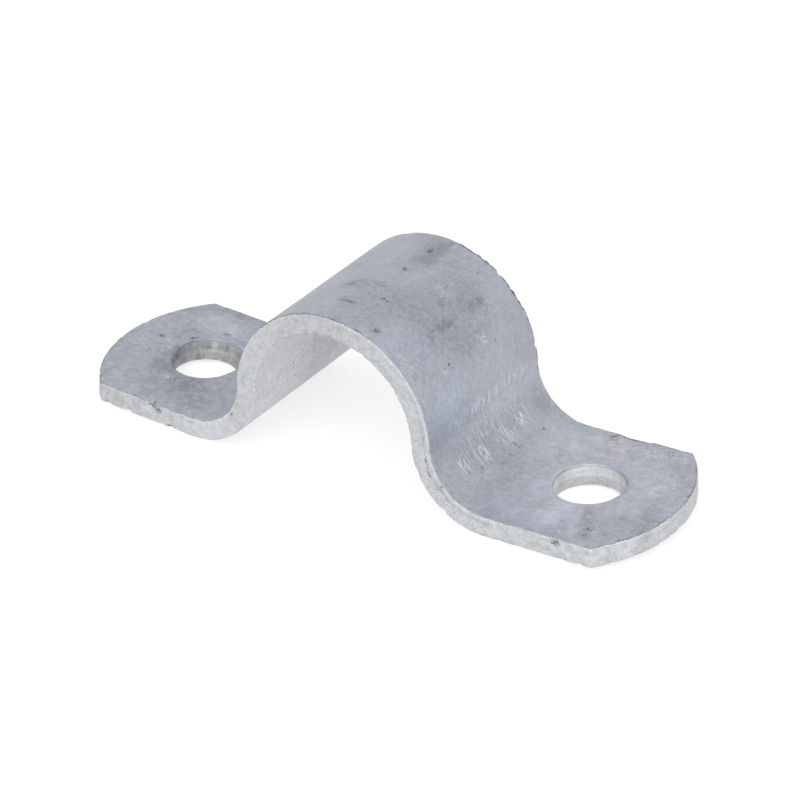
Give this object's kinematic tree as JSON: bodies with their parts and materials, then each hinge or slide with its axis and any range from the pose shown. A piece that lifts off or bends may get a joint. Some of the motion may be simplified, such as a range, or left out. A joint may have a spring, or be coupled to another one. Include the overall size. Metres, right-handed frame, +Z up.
{
  "type": "conduit strap",
  "caption": "Saddle strap of galvanised flat steel bar: an arch over a round conduit and a flat foot with a screw hole on each side.",
  "frame": {"origin": "midway between the feet, under the crown of the arch, on the plane that the strap stands on", "axes": "+Z up from the wall or floor it is screwed to, X along the bar from toe to toe, Y along the conduit"},
  "size_m": [0.1, 0.0304, 0.0283],
  "materials": {
    "galvanised_steel": "hot-dip galvanised, matt, mottled pale blue-grey"
  },
  "bodies": {
    "root": {"strap": "galvanised_steel"}
  },
  "joints": []
}
